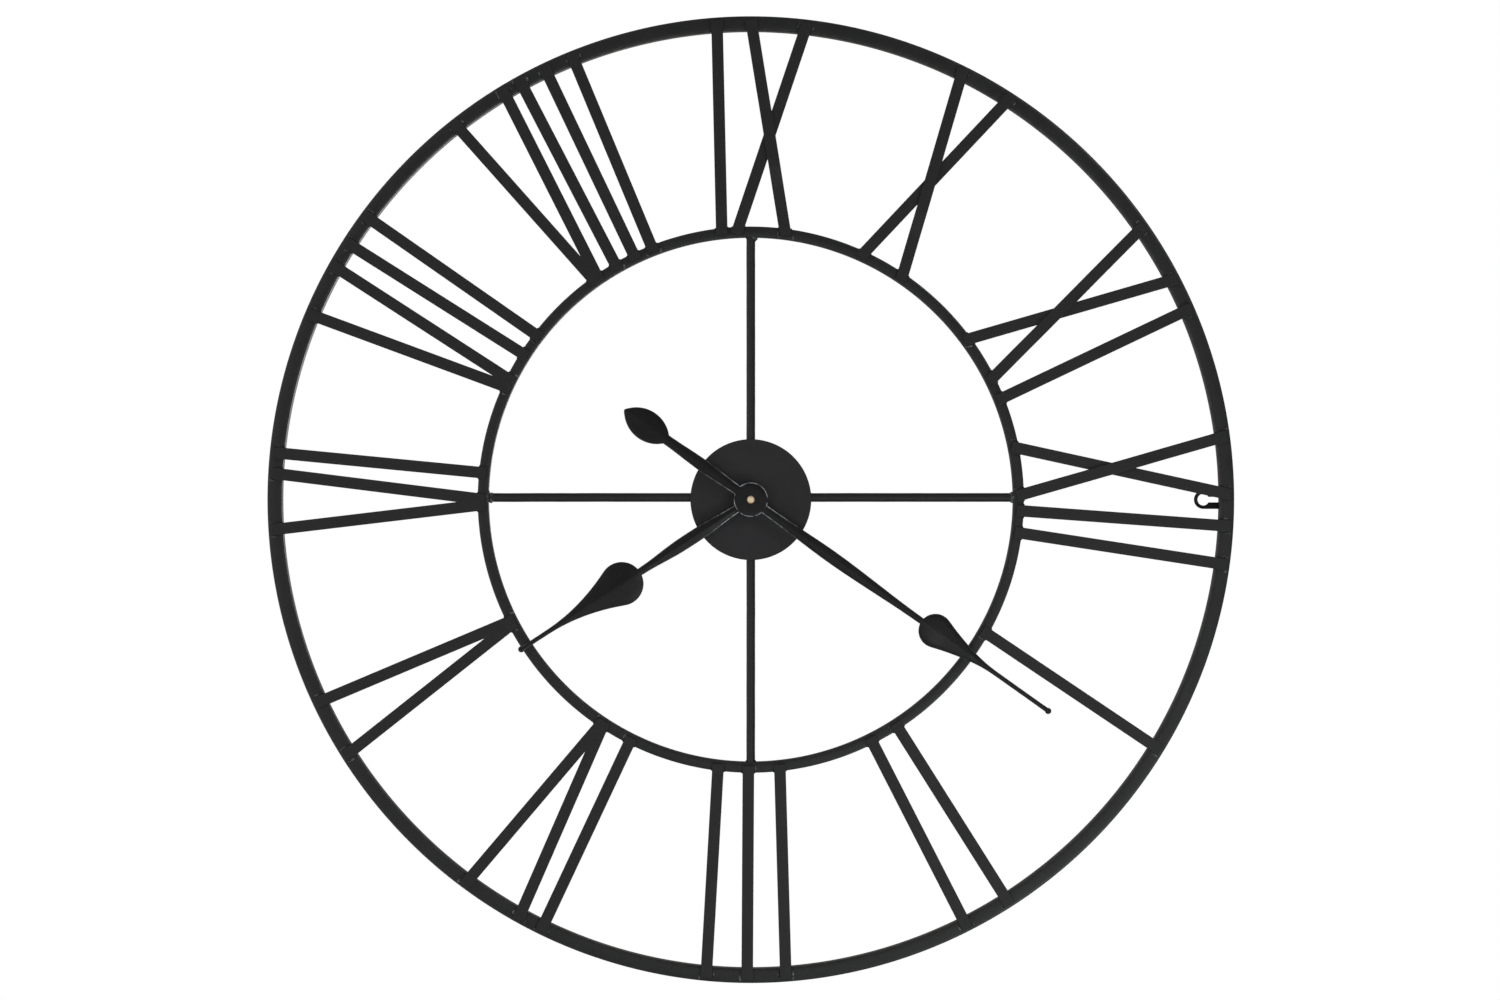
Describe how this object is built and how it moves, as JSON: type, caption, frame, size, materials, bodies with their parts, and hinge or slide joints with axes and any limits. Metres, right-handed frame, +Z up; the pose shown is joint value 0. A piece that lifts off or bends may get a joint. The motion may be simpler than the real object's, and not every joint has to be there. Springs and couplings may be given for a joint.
{
  "type": "wall clock",
  "caption": "Round black steel wall clock with Roman numerals of flat strip welded between a large and a small tube ring, and hour and minute hands on a quartz movement.",
  "frame": {"origin": "on the wall, on the axis of the screw that the keyhole hanger hangs on, 388.5 mm above the centre of the dial", "axes": "+Z up towards 12, +X towards 3 o'clock, +Y into the wall, so the dial faces -Y"},
  "size_m": [0.8, 0.0343, 0.8],
  "materials": {
    "black_paint": "near-black satin powder coat with a fine grain",
    "hand_paint": "near-black paint, a little glossier than the frame's",
    "hanger_paint": "black satin paint",
    "brass": "bright turned brass",
    "steel": "plain bright steel",
    "rubber": "matt black",
    "case_plastic": "black moulded plastic, finely textured",
    "wheel_plastic": "off-white acetal",
    "copper_wire": "enamelled copper winding",
    "board": "green solder mask",
    "battery_jacket": "plain grey jacket"
  },
  "bodies": {
    "frame": {"battery": "battery_jacket", "circuit_board": "board", "coil": "copper_wire", "contact_minus": "steel", "contact_plus": "steel", "dial_disc": "black_paint", "front_case": "case_plastic", "hex_nut": "brass", "inner_ring": "black_paint", "keyhole_hanger": "hanger_paint", "numeral_01_i": "black_paint", "numeral_02_i1": "black_paint", "numeral_02_i2": "black_paint", "numeral_03_i1": "black_paint", "numeral_03_i2": "black_paint", "numeral_03_i3": "black_paint", "numeral_04_i": "black_paint", "numeral_04_v": "black_paint", "numeral_05_v": "black_paint", "numeral_06_i": "black_paint", "numeral_06_v": "black_paint", "numeral_07_i1": "black_paint", "numeral_07_i2": "black_paint", "numeral_07_v": "black_paint", "numeral_08_i1": "black_paint", "numeral_08_i2": "black_paint", "numeral_08_i3": "black_paint", "numeral_08_v": "black_paint", "numeral_09_i": "black_paint", "numeral_09_x_over": "black_paint", "numeral_09_x_under": "black_paint", "numeral_10_x_over": "black_paint", "numeral_10_x_under": "black_paint", "numeral_11_i": "black_paint", "numeral_11_x_over": "black_paint", "numeral_11_x_under": "black_paint", "numeral_12_i1": "black_paint", "numeral_12_i2": "black_paint", "numeral_12_x_over": "black_paint", "numeral_12_x_under": "black_paint", "outer_ring": "black_paint", "rear_case": "case_plastic", "rubber_gasket": "rubber", "spoke_03": "black_paint", "spoke_06": "black_paint", "spoke_09": "black_paint", "spoke_12": "black_paint", "stator": "steel", "washer": "steel"},
    "minute": {"minute_wheel": "steel", "minute_hand": "hand_paint", "hand_nut": "brass"},
    "hour": {"hour_wheel": "brass", "hour_hand": "hand_paint"},
    "motion": {"motion_wheel": "wheel_plastic"},
    "third": {"third_wheel": "wheel_plastic"},
    "second": {"second_wheel": "wheel_plastic"},
    "intermediate": {"intermediate_wheel": "wheel_plastic"},
    "rotor": {"rotor": "steel"},
    "knob": {"setting_knob": "case_plastic"}
  },
  "joints": [
    {"name": "minute_spin", "type": "hinge", "parent": "frame", "child": "minute", "pos_m": [0, 0, -0.3885], "axis": [0, 1, 0], "continuous": true},
    {"name": "hour_spin", "type": "hinge", "parent": "frame", "child": "hour", "pos_m": [0, 0, -0.3885], "axis": [0, 1, 0], "continuous": true},
    {"name": "motion_spin", "type": "hinge", "parent": "frame", "child": "motion", "pos_m": [0.0096, 0, -0.3885], "axis": [0, 1, 0], "continuous": true},
    {"name": "third_spin", "type": "hinge", "parent": "frame", "child": "third", "pos_m": [-0.00674, 0, -0.38176], "axis": [0, 1, 0], "continuous": true},
    {"name": "second_spin", "type": "hinge", "parent": "frame", "child": "second", "pos_m": [0, 0, -0.3885], "axis": [0, 1, 0], "continuous": true},
    {"name": "intermediate_spin", "type": "hinge", "parent": "frame", "child": "intermediate", "pos_m": [0.0049, 0, -0.38001], "axis": [0, 1, 0], "continuous": true},
    {"name": "rotor_spin", "type": "hinge", "parent": "frame", "child": "rotor", "pos_m": [0.0082, 0, -0.37429], "axis": [0, 1, 0], "continuous": true},
    {"name": "knob_spin", "type": "hinge", "parent": "frame", "child": "knob", "pos_m": [0.01727, 0, -0.38272], "axis": [0, 1, 0], "continuous": true}
  ],
  "couplings": [
    {"joint": "hour_spin", "follows": "minute_spin", "ratio": 0.083333},
    {"joint": "motion_spin", "follows": "minute_spin", "ratio": -0.33333},
    {"joint": "third_spin", "follows": "minute_spin", "ratio": -8},
    {"joint": "second_spin", "follows": "minute_spin", "ratio": 60},
    {"joint": "intermediate_spin", "follows": "minute_spin", "ratio": -360},
    {"joint": "rotor_spin", "follows": "minute_spin", "ratio": 1800},
    {"joint": "knob_spin", "follows": "minute_spin", "ratio": 1}
  ]
}
